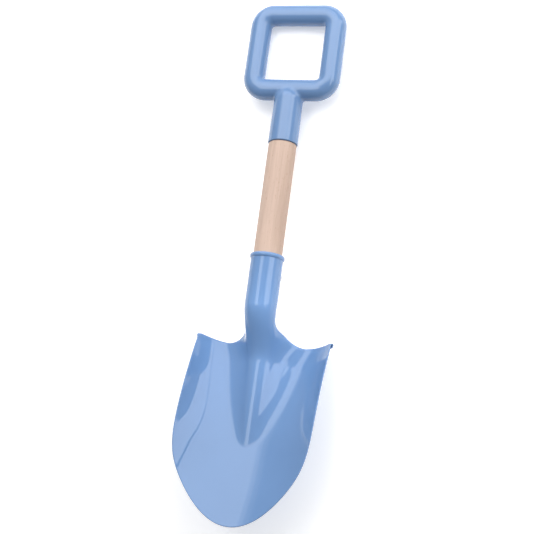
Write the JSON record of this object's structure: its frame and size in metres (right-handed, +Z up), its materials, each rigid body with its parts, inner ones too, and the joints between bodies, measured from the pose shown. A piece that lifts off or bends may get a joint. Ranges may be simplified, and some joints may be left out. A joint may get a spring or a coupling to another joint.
{
  "type": "sand shovel",
  "caption": "Child's sand shovel with a pressed metal blade, rolled socket, short wooden shaft and square loop hand grip.",
  "frame": {"origin": "on the resting surface, centred across the blade and halfway between the blade's tip and the end of the grip", "axes": "+X across the blade to its right, +Y from the blade's tip to the hand grip, +Z up out of the blade's hollow face; the shovel lies on its back on both shoulder lips and the far bar of the grip"},
  "size_m": [0.1102, 0.4118, 0.0518],
  "materials": {
    "blade_paint": "gloss",
    "beech": "smooth sanded",
    "grip_plastic": "semi-gloss",
    "zinc": "zinc plated"
  },
  "bodies": {
    "root": {"blade": "blade_paint", "shaft": "beech", "grip": "grip_plastic", "socket_screws": "zinc", "grip_screw": "zinc"}
  },
  "joints": []
}
